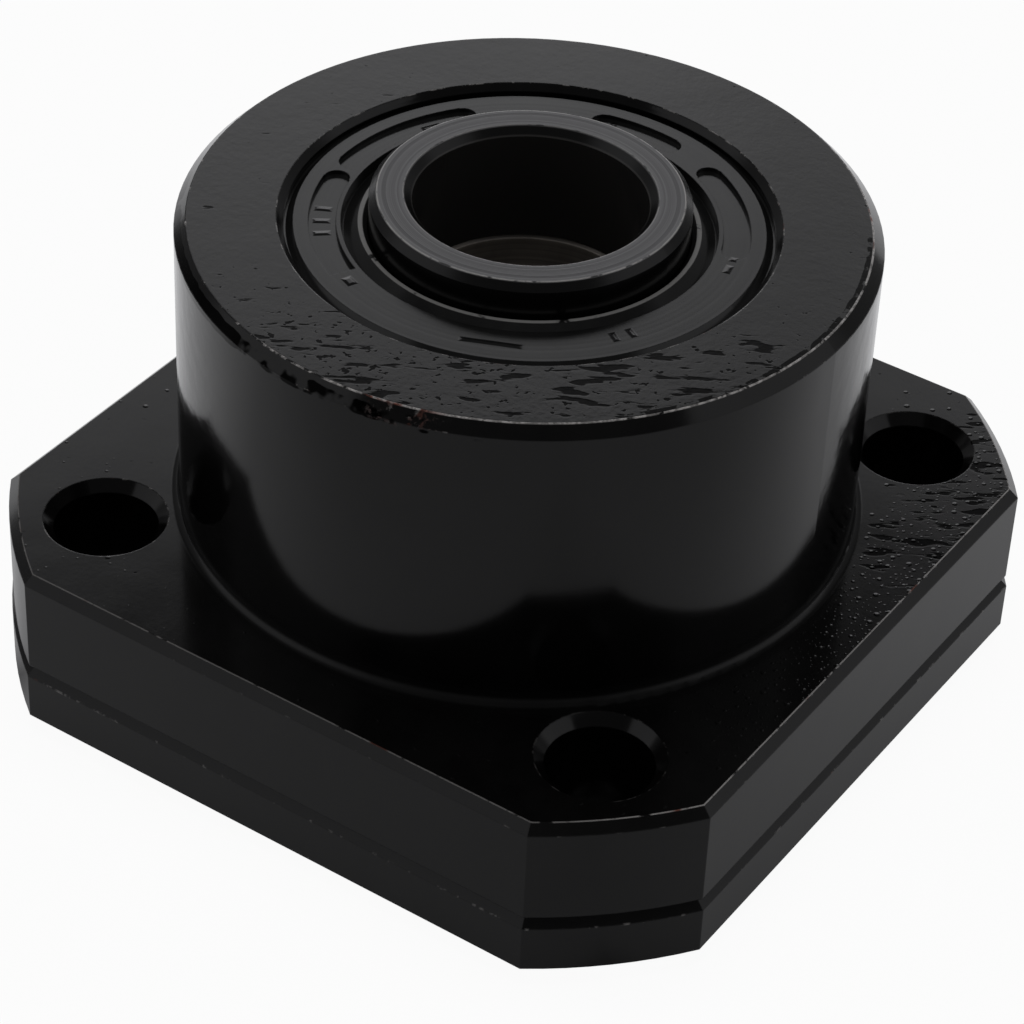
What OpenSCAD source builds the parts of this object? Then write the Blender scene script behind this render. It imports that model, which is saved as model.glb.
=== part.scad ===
// Flanged end support for a ball screw: a round boss on a square flange,
// two angular contact bearings inside, clamped by a lid, sealed at both ends.
// Z runs along the screw axis, from the rear collar's free face to the nose.

/* [Screw journal and collars] */
// Diameter of the screw journal that the unit carries
shaft_d = 12; // [11:0.25:13]
// Outside diameter of both spacer collars
collar_d = 16.4; // [15.6:0.1:17]
// How far the front collar stands proud of the boss face
front_proud = 1.4; // [0.8:0.1:3]
// How far the rear collar stands proud of the lid
rear_proud = 1; // [0.6:0.1:3]
// Chamfer round the free outer edge of a collar
collar_edge_c = 0.4; // [0.1:0.05:0.5]
// Chamfer at the mouth of a collar's bore
collar_mouth_c = 0.45; // [0.2:0.05:0.6]
// Chamfer on the collar edges that face the bearings
collar_inner_c = 0.15; // [0.05:0.05:0.3]

/* [Housing] */
// Diameter of the boss that enters the mounting bracket
boss_d = 36; // [35:0.25:38]
// Length of the boss above the flange
boss_len = 17; // [16.5:0.25:22]
// Chamfer round the boss face
boss_edge_c = 0.6; // [0.2:0.1:1]
// Width of the flange across its flats
flange_af = 44; // [43:0.25:47]
// Turned diameter across the flange corners
flange_corner_d = 54; // [53:0.25:58]
// Thickness of the flange alone
flange_t = 5.9; // [5.6:0.1:8]
// Chamfer along the upper edge of the flange
flange_edge_c = 0.5; // [0.2:0.05:0.8]
// Radius of the fillet where the boss meets the flange
boss_fillet_r = 0.45; // [0.2:0.05:0.5]
// Depth from the boss face to the shoulder that the bearings sit on
nose_depth = 5.1; // [4.8:0.1:6]
// Bore of that shoulder
shoulder_d = 22.4; // [21.5:0.1:23.4]
// Chamfer at the mouth of the seal recess
seal_mouth_c = 0.34; // [0.1:0.02:0.5]
// Chamfer at the lower mouth of the bearing bore
bearing_mouth_c = 0.4; // [0.1:0.05:0.6]

/* [Mounting holes] */
// Pitch circle of the four mounting holes
hole_pcd = 44; // [43.75:0.05:44.5]
// Diameter of the mounting holes
hole_d = 5.5; // [4.5:0.1:5.7]
// Chamfer round the mounting holes
hole_edge_c = 0.55; // [0.1:0.05:0.6]

/* [Lid] */
// Thickness of the lid plate
lid_t = 3.4; // [3:0.1:5]
// How far the lid outline stands out past the flange, on each side
lid_over = 0.12; // [0:0.02:0.3]
// Chamfer along the upper edge of the lid
lid_edge_c = 0.7; // [0.3:0.05:1]
// Chamfer at the tip of the lid's spigot
spigot_edge_c = 0.3; // [0.1:0.05:0.5]

/* [Lid screws] */
// Number of screws that hold the lid
lid_screw_count = 4; // [2:2:6]
// Pitch circle of the lid screws
lid_screw_pcd = 36; // [35.5:0.1:36.5]
// Thread diameter of a lid screw
lid_screw_d = 3; // [2.5:0.1:3.2]
// Length of a lid screw under its head
lid_screw_len = 6; // [5:0.1:6.2]
// Diameter of a lid screw's head
lid_screw_head_d = 5.5; // [5:0.1:5.8]
// Height of a lid screw's head
lid_screw_head_h = 1.7; // [1.4:0.1:1.9]
// Width across the flats of a lid screw's socket
lid_screw_socket_w = 2; // [1.5:0.1:2.5]
// Depth of that socket
lid_screw_socket_h = 1; // [0.7:0.05:1.2]
// How deep a screw head lies below the lid's rear face
lid_screw_sink = 0.2; // [0.1:0.05:0.4]

/* [Bearings] */
// Outside diameter of the bearings
bearing_od = 28; // [27.5:0.25:29]
// Width of one bearing
bearing_w = 8; // [7.5:0.1:8.5]
// Diameter of a ball, as a share of the section between shaft and outside
ball_share = 0.595; // [0.55:0.0025:0.61]
// Number of balls in one bearing
ball_count = 10; // [8:1:11]
// Height of an inner ring's low shoulder, as a share of that section
inner_low_share = 0.2875; // [0.26:0.0025:0.3]
// Height of an inner ring's high shoulder, as a share of that section
inner_high_share = 0.35; // [0.325:0.0025:0.36]
// Wall of an outer ring at its high shoulder, as a share of that section
outer_high_share = 0.3375; // [0.31:0.0025:0.36]
// Wall of an outer ring at its relieved shoulder, as a share of that section
outer_low_share = 0.2375; // [0.22:0.0025:0.275]
// Corner chamfer of the bearing rings
ring_edge_c = 0.3; // [0.1:0.05:0.4]
// Height of a cage, as a share of the bearing's width
cage_share = 0.8; // [0.76:0.01:0.86]

/* [Oil seals] */
// Outside diameter of the oil seals
seal_od = 25; // [24.6:0.1:25.6]
// Width of an oil seal
seal_w = 3.5; // [3.3:0.05:3.8]
// How deep a seal lies below the face round it
seal_set = 0.35; // [0.1:0.05:0.6]
// Radial width of a seal's outer edge, bevel and ledge together
seal_edge_w = 0.5; // [0.4:0.05:0.6]
// Radial width of the ledge at the foot of that bevel
seal_ledge_w = 0.14; // [0.1:0.02:0.2]
// Width of a seal's outer rim, up to the pockets
seal_rim_w = 1.27; // [1.1:0.01:1.35]
// Radial width of the pockets in a seal's face
pocket_w = 1.4; // [1:0.01:1.45]
// Depth of those pockets
pocket_h = 0.25; // [0.2:0.05:0.6]
// Width of the ridge inside the pockets
ridge_w = 0.24; // [0.15:0.01:0.35]
// Thickness of the rubber over a seal's steel case
seal_skin = 1; // [0.8:0.05:1.2]
// Thickness of the steel case
case_t = 0.4; // [0.3:0.05:0.5]
// Depth of the groove between the ridge and the dust lip
groove_h = 0.55; // [0.3:0.05:0.7]
// Radial width of the dust lip beside the collar
dust_lip_w = 0.48; // [0.4:0.02:0.6]
// Height of the dust lip
dust_lip_h = 0.45; // [0.3:0.05:0.6]
// How deep the dust lip lies below the seal's face
dust_lip_set = 0.08; // [0.02:0.02:0.2]
// Depth of the main lip's edge below the seal's face
lip_depth = 2; // [1.8:0.05:2.3]

/* [Clearances] */
// Radial gap between the journal collars and the seal lips
lip_gap = 0.05; // [0.02:0.01:0.1]
// Gap between a ball and its raceways
race_gap = 0.04; // [0.02:0.01:0.08]
// Gap between a ball and its cage pocket
cage_gap = 0.08; // [0.04:0.01:0.12]
// Radial gap between a cage and the high shoulders of the rings
cage_play = 0.5; // [0.35:0.05:0.6]
// Radial gap of the outer rings and the spigot in the bearing bore
seat_gap = 0.01; // [0.01:0.01:0.03]
// Radial gap round a lid screw's thread
thread_gap = 0.02; // [0.01:0.01:0.05]
// Radial gap round a lid screw in the lid, and round its head
screw_gap = 0.2; // [0.1:0.05:0.3]
// Gap past the tip of a lid screw
tip_gap = 0.3; // [0.1:0.05:0.5]

/* [Hidden] */
$fn = 96;

// heights along the axis
z_lid = rear_proud;                    // rear face of the lid
z_seam = z_lid + lid_t;                // lid meets flange
z_flange = z_seam + flange_t;          // upper face of the flange
z_nose = z_flange + boss_len;          // face of the boss
z_seat = z_nose - nose_depth;          // shoulder above the bearings
z_mid = z_seat - bearing_w;            // bearings meet
z_low = z_mid - bearing_w;             // lower face of the bearings
z_tip = z_nose + front_proud;          // free face of the front collar

shaft_r = shaft_d / 2;
boss_r = boss_d / 2;
bearing_r = bearing_od / 2;
seat_r = bearing_r + seat_gap;         // bearing bore in the housing
seal_r = seal_od / 2;
recess_h = seal_w + seal_set;

// bearing section, all from the shaft and the bearing's outside
section = bearing_r - shaft_r;
pitch_r = (shaft_r + bearing_r) / 2;
ball_r = ball_share * section / 2;
groove_r = ball_r + race_gap;
inner_low_r = shaft_r + inner_low_share * section;
inner_high_r = shaft_r + inner_high_share * section;
outer_high_r = bearing_r - outer_high_share * section;
outer_low_r = bearing_r - outer_low_share * section;
cage_h = cage_share * bearing_w;

collar_r = collar_d / 2;
lip_r = collar_r + lip_gap;

// oil seal radii, from the rim inwards
pocket_out_r = seal_r - seal_rim_w;
pocket_in_r = pocket_out_r - pocket_w;
ridge_in_r = pocket_in_r - ridge_w;
cover_r = seal_r - seal_edge_w;        // inside of the rubber over the case
// pockets in a seal's face: start angle and sweep
POCKETS = [[19, 47], [77, 29], [140, 49], [191, 55]];

// ---------- shared shapes ----------

// square across the flats, turned round at the corners, top edge chamfered
module turned_plate(af, corner_d, t, c) {
    half = af / 2;
    corner_r = corner_d / 2;
    side = [[-half, 0], [half, 0], [half, t - c], [half - c, t],
            [-half + c, t], [-half, t - c]];
    intersection() {
        rotate([90, 0, 0])
            linear_extrude(height = corner_d, center = true) polygon(side);
        rotate([90, 0, 90])
            linear_extrude(height = corner_d, center = true) polygon(side);
        rotate_extrude()
            polygon([[0, 0], [corner_r, 0], [corner_r, t - c],
                     [corner_r - c, t], [0, t]]);
    }
}

// children placed at each mounting hole
module at_holes() {
    for (i = [0:3]) rotate([0, 0, 45 + i * 90])
        translate([hole_pcd / 2, 0, 0]) children();
}

// children placed at each lid screw
module at_lid_screws() {
    for (i = [0:lid_screw_count - 1]) rotate([0, 0, i * 360 / lid_screw_count])
        translate([lid_screw_pcd / 2, 0, 0]) children();
}

// a hole with a small chamfer at its upper mouth
module mounting_hole(z0, z1, c) {
    translate([0, 0, z0 - 1]) cylinder(d = hole_d, h = z1 - z0 + 2);
    translate([0, 0, z1 - c])
        cylinder(r1 = hole_d / 2, r2 = hole_d / 2 + 2 * c, h = 2 * c);
}

// ---------- housing and lid ----------

module housing() {
    foot_r = boss_r + boss_fillet_r;
    color("#242220") difference() {
        union() {
            translate([0, 0, z_seam])
                turned_plate(flange_af, flange_corner_d, flange_t, flange_edge_c);
            rotate_extrude() difference() {
                polygon([[0, z_seam], [foot_r, z_seam],
                         [foot_r, z_flange + boss_fillet_r],
                         [boss_r, z_flange + boss_fillet_r],
                         [boss_r, z_nose - boss_edge_c],
                         [boss_r - boss_edge_c, z_nose], [0, z_nose]]);
                translate([foot_r, z_flange + boss_fillet_r])
                    circle(r = boss_fillet_r);
            }
        }
        // stepped bore: bearing seat, shoulder, seal recess
        rotate_extrude()
            polygon([[0, z_seam - 1], [seat_r + bearing_mouth_c, z_seam - 1],
                     [seat_r + bearing_mouth_c, z_seam],
                     [seat_r, z_seam + bearing_mouth_c], [seat_r, z_seat],
                     [shoulder_d / 2, z_seat], [shoulder_d / 2, z_nose - recess_h],
                     [seal_r, z_nose - recess_h], [seal_r, z_nose - seal_mouth_c],
                     [seal_r + seal_mouth_c, z_nose],
                     [seal_r + seal_mouth_c, z_nose + 1], [0, z_nose + 1]]);
        at_holes() mounting_hole(z_seam, z_flange, hole_edge_c);
        at_lid_screws() translate([0, 0, z_seam - 1])
            cylinder(r = lid_screw_d / 2 + thread_gap,
                     h = 1 + lid_screw_len + tip_gap - screw_grip());
    }
}

// thickness of lid under a screw head
function screw_grip() = lid_t - lid_screw_head_h - lid_screw_sink;

module lid() {
    spigot_r = bearing_r;
    color("#1f1e1d") difference() {
        union() {
            translate([0, 0, z_lid])
                turned_plate(flange_af + 2 * lid_over,
                             flange_corner_d + 2 * lid_over, lid_t, lid_edge_c);
            // spigot that enters the bore and presses on the outer ring
            rotate_extrude()
                polygon([[0, z_lid], [spigot_r, z_lid],
                         [spigot_r, z_low - spigot_edge_c],
                         [spigot_r - spigot_edge_c, z_low], [0, z_low]]);
        }
        rotate_extrude()
            polygon([[0, z_lid - 1], [seal_r + seal_mouth_c, z_lid - 1],
                     [seal_r + seal_mouth_c, z_lid],
                     [seal_r, z_lid + seal_mouth_c], [seal_r, z_lid + recess_h],
                     [shoulder_d / 2, z_lid + recess_h],
                     [shoulder_d / 2, z_low + 1], [0, z_low + 1]]);
        at_holes() translate([0, 0, z_lid - 1])
            cylinder(d = hole_d, h = lid_t + 2);
        at_lid_screws() {
            translate([0, 0, z_lid - 1])
                cylinder(r = lid_screw_d / 2 + screw_gap, h = lid_t + 2);
            translate([0, 0, z_lid - 1])
                cylinder(r = lid_screw_head_d / 2 + screw_gap,
                         h = 1 + lid_screw_head_h + lid_screw_sink);
        }
    }
}

module lid_screws() {
    head_r = lid_screw_head_d / 2;
    z_head = z_lid + lid_screw_sink;
    z_under = z_head + lid_screw_head_h;
    tip_c = lid_screw_d / 6;
    color("#4a4a4c") at_lid_screws() difference() {
        rotate_extrude()
            polygon([[0, z_head], [head_r - 0.2, z_head], [head_r, z_head + 0.2],
                     [head_r, z_under], [lid_screw_d / 2, z_under],
                     [lid_screw_d / 2, z_under + lid_screw_len - tip_c],
                     [lid_screw_d / 2 - tip_c, z_under + lid_screw_len],
                     [0, z_under + lid_screw_len]]);
        translate([0, 0, z_head - 1])
            cylinder(d = lid_screw_socket_w / cos(30),
                     h = 1 + lid_screw_socket_h, $fn = 6);
    }
}

// ---------- collars ----------

// spacer ring from z0 (bearing side) to z1 (free face); works both ways up
module collar(z0, z1) {
    s = z1 > z0 ? 1 : -1;
    rotate_extrude()
        polygon([[shaft_r, z0], [collar_r - collar_inner_c, z0],
                 [collar_r, z0 + s * collar_inner_c],
                 [collar_r, z1 - s * collar_edge_c],
                 [collar_r - collar_edge_c, z1],
                 [shaft_r + collar_mouth_c, z1],
                 [shaft_r, z1 - s * collar_mouth_c]]);
}

module front_collar() { color("#6e6c6a") collar(z_seat, z_tip); }
module rear_collar() { color("#6e6c6a") collar(z_low, 0); }

// ---------- oil seals, face at z = 0 and lying below it ----------

// shallow pocket with round ends in a seal's face, from angle a over sweep w
module pocket(a, w) {
    mid_r = (pocket_in_r + pocket_out_r) / 2;
    end_d = 0.94 * pocket_w;
    end_a = asin(end_d / 2 / mid_r);
    rotate([0, 0, a + end_a]) rotate_extrude(angle = w - 2 * end_a)
        polygon([[pocket_in_r, -pocket_h], [pocket_out_r, -pocket_h],
                 [pocket_out_r, 1], [pocket_in_r, 1]]);
    for (b = [a + end_a, a + w - end_a]) rotate([0, 0, b])
        translate([mid_r, 0, -pocket_h]) cylinder(d = end_d, h = 1 + pocket_h);
}

// rubber section: rim over the case, pocketed face, ridge, dust lip, main lip
module seal_rubber() {
    lip_back = lip_depth + 0.7;
    dust_z = -dust_lip_set;
    bevel_h = seal_edge_w - seal_ledge_w;
    difference() {
        rotate_extrude()
            polygon([[seal_r, -seal_w], [seal_r, -bevel_h],
                     [seal_r - seal_ledge_w, -bevel_h],
                     [cover_r, 0], [ridge_in_r, 0],
                     [ridge_in_r - ridge_w / 2, -groove_h],
                     [lip_r + dust_lip_w, dust_z],
                     [lip_r + dust_lip_w / 2, dust_z],
                     [lip_r, dust_z - dust_lip_h / 2],
                     [lip_r, dust_z - dust_lip_h],
                     [lip_r + 0.55, dust_z - dust_lip_h - 0.45],
                     [lip_r + 0.55, -seal_skin - case_t],
                     [lip_r, -lip_depth], [lip_r + 0.3, -lip_back],
                     [lip_r + 0.8, -lip_back], [lip_r + 1, -lip_depth],
                     [pocket_in_r, -seal_skin - case_t],
                     [pocket_in_r, -seal_skin], [cover_r, -seal_skin],
                     [cover_r, -seal_w]]);
        for (p = POCKETS) pocket(p[0], p[1]);
    }
}

// pressed steel case behind the rubber face
module seal_case() {
    rotate_extrude()
        polygon([[cover_r, -seal_skin], [pocket_in_r, -seal_skin],
                 [pocket_in_r, -seal_skin - case_t],
                 [cover_r - case_t, -seal_skin - case_t],
                 [cover_r - case_t, -seal_w], [cover_r, -seal_w]]);
}

module at_front() { translate([0, 0, z_nose - seal_set]) children(); }
module at_rear() { translate([0, 0, z_lid + seal_set]) mirror([0, 0, 1]) children(); }

module front_seal() { color("#262422") at_front() seal_rubber(); }
module front_seal_case() { color("#8a8a88") at_front() seal_case(); }
module rear_seal() { color("#262422") at_rear() seal_rubber(); }
module rear_seal_case() { color("#8a8a88") at_rear() seal_case(); }

// ---------- bearings, low face at z = 0 ----------

// relieved shoulder at the upper end
module outer_ring() {
    z_c = bearing_w / 2;
    c = ring_edge_c;
    rotate_extrude() difference() {
        polygon([[outer_high_r, 0], [bearing_r - c, 0], [bearing_r, c],
                 [bearing_r, bearing_w - c], [bearing_r - c, bearing_w],
                 [outer_low_r, bearing_w], [outer_low_r, z_c],
                 [outer_high_r, z_c]]);
        translate([pitch_r, z_c]) circle(r = groove_r);
    }
}

module inner_ring() {
    z_c = bearing_w / 2;
    c = ring_edge_c;
    rotate_extrude() difference() {
        polygon([[shaft_r + c, 0], [inner_low_r, 0], [inner_low_r, z_c],
                 [inner_high_r, z_c], [inner_high_r, bearing_w],
                 [shaft_r + c, bearing_w],
                 [shaft_r, bearing_w - c], [shaft_r, c]]);
        translate([pitch_r, z_c]) circle(r = groove_r);
    }
}

module cage() {
    difference() {
        translate([0, 0, (bearing_w - cage_h) / 2]) difference() {
            cylinder(r = outer_high_r - cage_play, h = cage_h);
            translate([0, 0, -1])
                cylinder(r = inner_high_r + cage_play, h = cage_h + 2);
        }
        for (i = [0:ball_count - 1]) rotate([0, 0, i * 360 / ball_count])
            translate([0, 0, bearing_w / 2]) rotate([0, 90, 0])
                cylinder(r = ball_r + cage_gap, h = bearing_r);
    }
}

module balls() {
    for (i = [0:ball_count - 1]) rotate([0, 0, i * 360 / ball_count])
        translate([pitch_r, 0, bearing_w / 2]) sphere(r = ball_r);
}

// the pair sits face to face: relieved outer shoulders meet in the middle
module at_lower() { translate([0, 0, z_low]) children(); }
module at_upper() { translate([0, 0, z_seat]) mirror([0, 0, 1]) children(); }

module front_outer_ring() { color("#9c9a96") at_upper() outer_ring(); }
module front_inner_ring() { color("#8f8478") at_upper() inner_ring(); }
module front_cage() { color("#c8b070") at_upper() cage(); }
module front_balls() { color("#d0d0d2") at_upper() balls(); }
module rear_outer_ring() { color("#9c9a96") at_lower() outer_ring(); }
module rear_inner_ring() { color("#8f8478") at_lower() inner_ring(); }
module rear_cage() { color("#c8b070") at_lower() cage(); }
module rear_balls() { color("#d0d0d2") at_lower() balls(); }

housing();
lid();
lid_screws();
front_collar();
rear_collar();
front_seal();
front_seal_case();
rear_seal();
rear_seal_case();
front_outer_ring();
front_inner_ring();
front_cage();
front_balls();
rear_outer_ring();
rear_inner_ring();
rear_cage();
rear_balls();
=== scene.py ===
"""Looks for the flanged end support of a ball screw.

Black oxide housing and lid, turned collars, moulded seals, bearing parts, a pale
studio floor and soft light. Places inside the object's materials are in millimetres.
"""

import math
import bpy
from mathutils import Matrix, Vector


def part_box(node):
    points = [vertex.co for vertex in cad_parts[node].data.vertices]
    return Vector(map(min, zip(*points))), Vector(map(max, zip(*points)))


bl_info = {
    "name": "Screw end support finish",
    "version": (1, 0, 0),
    "blender": (4, 5, 0),
    "location": "3D Viewport > Sidebar > End support",
    "description": "Finishes the housing, lid, collars, seals and bearings of a ball screw end support",
    "category": "Object",
}

from functools import cached_property

import bpy
import numpy as np
from mathutils import Matrix, Vector

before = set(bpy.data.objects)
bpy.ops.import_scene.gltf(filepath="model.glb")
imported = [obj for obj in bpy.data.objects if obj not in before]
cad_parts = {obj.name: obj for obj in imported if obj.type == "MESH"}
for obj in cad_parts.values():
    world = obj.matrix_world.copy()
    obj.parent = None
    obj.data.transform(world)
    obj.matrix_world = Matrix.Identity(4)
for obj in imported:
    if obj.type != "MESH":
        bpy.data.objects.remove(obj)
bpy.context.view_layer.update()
MM = 1000.0  # millimetres in a metre


def node_box(name):
    """Lowest and highest corner of a CAD node, in millimetres."""
    low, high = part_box(name)
    return [v * MM for v in low], [v * MM for v in high]


# Heights and radii of the object's own edges, in millimetres, from the CAD boxes.
HOUSING = node_box("housing")
LID = node_box("lid")
COLLAR = node_box("front_collar")
SEAL = node_box("front_seal")
NOSE_Z = HOUSING[1][2]
SEAM_Z = HOUSING[0][2]
LID_Z = LID[0][2]
TIP_Z = COLLAR[1][2]
FLANGE_HALF = HOUSING[1][0]
LID_HALF = LID[1][0]
COLLAR_R = COLLAR[1][0]
SEAL_R = SEAL[1][0]
SEAL_TOP = SEAL[1][2]

# Edges that the boxes don't give, in millimetres.
COLLAR_CHAMFER = 0.4
BORE_R = 6.0
BORE_CHAMFER = 0.45

# Middle of the chipped stretch of the boss edge, in millimetres.
CHIPPED_SPOT = (4.3, -17.1, NOSE_Z - 0.2)

# Plain raised bars on a seal's face: angle in degrees, then radius, half length and
# half width in millimetres.
SEAL_MARKS = (
    (-66, 10.75, 1.50, 0.10),
    (-113, 10.6, 0.30, 0.22),
    (-33, 10.6, 0.12, 0.30),
    (-28, 10.6, 0.12, 0.30),
    (209, 10.55, 0.14, 0.40),
    (215, 10.55, 0.14, 0.40),
    (221, 10.55, 0.14, 0.40),
    (14, 10.55, 0.30, 0.14),
    (20, 10.55, 0.30, 0.14),
    (154, 10.4, 0.50, 0.14),
    (100, 10.55, 0.14, 0.45),
)

# Level directions: towards the bright backdrop, to the right of it, and away from it.
BACK = (-0.541, 0.841)
RIGHT = (BACK[1], -BACK[0])
FRONT = (-BACK[0], -BACK[1])

# Colours that no setting changes.
RUST = (0.20, 0.07, 0.05, 1.0)
COLLAR_SKIN = (0.004, 0.004, 0.004, 1.0)
COLLAR_BORE = (0.026, 0.025, 0.024, 1.0)
COLLAR_WORN = (0.45, 0.44, 0.43, 1.0)
RUBBER_WORN = (0.16, 0.157, 0.154, 1.0)
SCREW_STEEL = (0.035, 0.035, 0.037)
CASE_STEEL = (0.45, 0.45, 0.44)
BALL_STEEL = (0.72, 0.72, 0.73)
FLOOR_MATT = (0.80, 0.80, 0.81, 1.0)
PURE_WHITE = (1.0, 1.0, 1.0, 1.0)
COOL_WHITE = (1.0, 1.0, 1.02, 1.0)

# Stage: how much of the floor's painted glow (painted light and painted shadow) gloss sees, then the lamp
# and the camera's sensor. The lamp is in metres, the sensor in millimetres.
PAINTED_GLOW_SHARE = 0.8
LAMP_PLACE = (-0.04, 0.02, 0.60)
LAMP_SIZE = 0.35
SENSOR_WIDTH = 36.0


# ---------- node helpers ----------


class Tree:
    """A node tree with short calls to add nodes and join them."""

    def __init__(self, tree):
        self.tree = tree

    def node(self, kind, **settings):
        """Adds a node; settings named in_X set input X, others set properties."""
        made = self.tree.nodes.new(kind)
        for key, value in settings.items():
            if not key.startswith("in_"):
                setattr(made, key, value)
        for key, value in settings.items():
            if key.startswith("in_"):
                self.feed(made, key[3:], value)
        return made

    def feed(self, made, key, value):
        """Puts a value, or another node's output, into an input given by name or number."""
        socket = made.inputs[int(key)] if key.isdigit() else made.inputs[key.replace("_", " ")]
        if isinstance(value, bpy.types.NodeSocket):
            self.tree.links.new(value, socket)
        else:
            socket.default_value = value

    def math(self, operation, *values):
        """One Math node fed with one to three values."""
        made = self.node("ShaderNodeMath", operation=operation)
        for number, value in enumerate(values):
            self.feed(made, str(number), value)
        return made.outputs[0]

    def chain(self, operation, first, others):
        """The same two-value operation over a row of values, from the left."""
        for other in others:
            first = self.math(operation, first, other)
        return first

    def plus(self, first, *others):
        return self.chain("ADD", first, others)

    def minus(self, first, second):
        return self.math("SUBTRACT", first, second)

    def times(self, first, *others):
        return self.chain("MULTIPLY", first, others)

    def largest(self, first, *others):
        return self.chain("MAXIMUM", first, others)

    def size(self, value):
        """The value without its sign."""
        return self.math("ABSOLUTE", value)

    def vector(self, operation, first, second=None, scale=None):
        """One Vector Math node; a length, a distance and a dot product come out as a number."""
        made = self.node("ShaderNodeVectorMath", operation=operation)
        self.feed(made, "0", first)
        if second is not None:
            self.feed(made, "1", second)
        if scale is not None:
            made.inputs["Scale"].default_value = scale
        number = operation in ("LENGTH", "DOT_PRODUCT", "DISTANCE")
        return made.outputs["Value" if number else "Vector"]

    def ramp(self, value, low, high, out_low=0.0, out_high=1.0, smooth=True):
        """Value mapped from low..high to out_low..out_high, held at the ends."""
        kind = "SMOOTHSTEP" if smooth else "LINEAR"
        made = self.node("ShaderNodeMapRange", interpolation_type=kind)
        self.feed(made, "Value", value)
        self.feed(made, "From Min", low)
        self.feed(made, "From Max", high)
        self.feed(made, "To Min", out_low)
        self.feed(made, "To Max", out_high)
        return made.outputs[0]

    def mix(self, factor, first, second):
        """The first colour where factor is 0, the second where it is 1."""
        made = self.node("ShaderNodeMix", data_type="RGBA", in_0=factor, in_6=first, in_7=second)
        return made.outputs[2]

    def blend(self, factor, first, second):
        """The first number where factor is 0, the second where it is 1."""
        made = self.node("ShaderNodeMix", data_type="FLOAT", in_0=factor, in_2=first, in_3=second)
        return made.outputs[0]

    def blend_shaders(self, factor, first, second):
        """The first shader where factor is 0, the second where it is 1."""
        made = self.node("ShaderNodeMixShader", in_0=factor, in_1=first, in_2=second)
        return made.outputs[0]

    def toned(self, color, tone):
        """A fixed colour made darker or lighter by a tone."""
        made = self.node("ShaderNodeMix", data_type="RGBA", blend_type="MULTIPLY", in_0=1.0)
        self.feed(made, "6", (*color[:3], 1.0))
        self.feed(made, "7", self.join(tone, tone, tone))
        return made.outputs[2]

    def noise(self, vector, scale, detail=3.0, rough=0.55):
        """Noise with features 1/scale across."""
        made = self.node("ShaderNodeTexNoise", in_Vector=vector, in_Scale=scale)
        self.feed(made, "Detail", detail)
        self.feed(made, "Roughness", rough)
        return made.outputs["Fac"]

    def line_noise(self, value, scale, detail, rough):
        """Noise along one value."""
        made = self.node("ShaderNodeTexNoise", noise_dimensions="1D", in_W=value, in_Scale=scale)
        self.feed(made, "Detail", detail)
        self.feed(made, "Roughness", rough)
        return made.outputs["Fac"]

    def xyz(self, vector):
        return self.node("ShaderNodeSeparateXYZ", in_0=vector).outputs

    def join(self, x, y, z):
        return self.node("ShaderNodeCombineXYZ", in_0=x, in_1=y, in_2=z).outputs[0]

    def along(self, x, y, way):
        """Distance along a level direction."""
        return self.plus(self.times(x, way[0]), self.times(y, way[1]))


def group(name, inputs, outputs):
    """A shader node group; returns its Tree, its inputs and its output node.

    Inputs are named with their defaults, where None makes a vector. Outputs are numbers.
    """
    made = bpy.data.node_groups.new(name, "ShaderNodeTree")
    for label, value in inputs.items():
        kind = "NodeSocketVector" if value is None else "NodeSocketFloat"
        socket = made.interface.new_socket(label, in_out="INPUT", socket_type=kind)
        if value is not None:
            socket.default_value = value
    for label in outputs:
        made.interface.new_socket(label, in_out="OUTPUT", socket_type="NodeSocketFloat")
    tree = Tree(made)
    return tree, tree.node("NodeGroupInput").outputs, tree.node("NodeGroupOutput")


def use(tree, name, **inputs):
    """Places a node group and returns its outputs."""
    made = tree.node("ShaderNodeGroup", node_tree=bpy.data.node_groups[name])
    for key, value in inputs.items():
        tree.feed(made, key, value)
    return made.outputs


def mask(tree, name, **inputs):
    """Places a node group and returns its mask."""
    return use(tree, name, **inputs)["Mask"]


# ---------- shared effects ----------


def near_line(tree, across, up, width):
    """Mask of a line: 1 where both distances from it are small, 0 from its width on."""
    far = tree.math("SQRT", tree.plus(tree.times(across, across), tree.times(up, up)))
    return tree.ramp(tree.math("DIVIDE", far, width), 0.4, 1.0, 1.0, 0.0)


def make_ring_edge():
    """Mask round a circle on the screw axis: 1 on the circle, falling off with distance."""
    inputs = {"Radius": 0.0, "Height": 0.0, "Ring Radius": 18.0, "Ring Height": 0.0, "Width": 0.08}
    tree, given, out = group("ring_edge", inputs, ["Mask"])
    across = tree.minus(given["Radius"], given["Ring Radius"])
    up = tree.minus(given["Height"], given["Ring Height"])
    tree.feed(out, "Mask", near_line(tree, across, up, given["Width"]))


def make_plate_edge():
    """Mask along the outline of a square plate whose corners are turned round."""
    inputs = {"Point": None, "Half": 22.0, "Corner Radius": 27.0, "Edge Height": 0.0, "Width": 0.08}
    tree, given, out = group("plate_edge", inputs, ["Mask"])
    x, y, _ = tree.xyz(tree.vector("ABSOLUTE", given["Point"]))
    flat = tree.minus(tree.largest(x, y), given["Half"])
    turned = tree.minus(tree.vector("LENGTH", tree.join(x, y, 0.0)), given["Corner Radius"])
    across = tree.largest(flat, turned)
    up = tree.minus(tree.xyz(given["Point"])[2], given["Edge Height"])
    tree.feed(out, "Mask", near_line(tree, across, up, given["Width"]))


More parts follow.
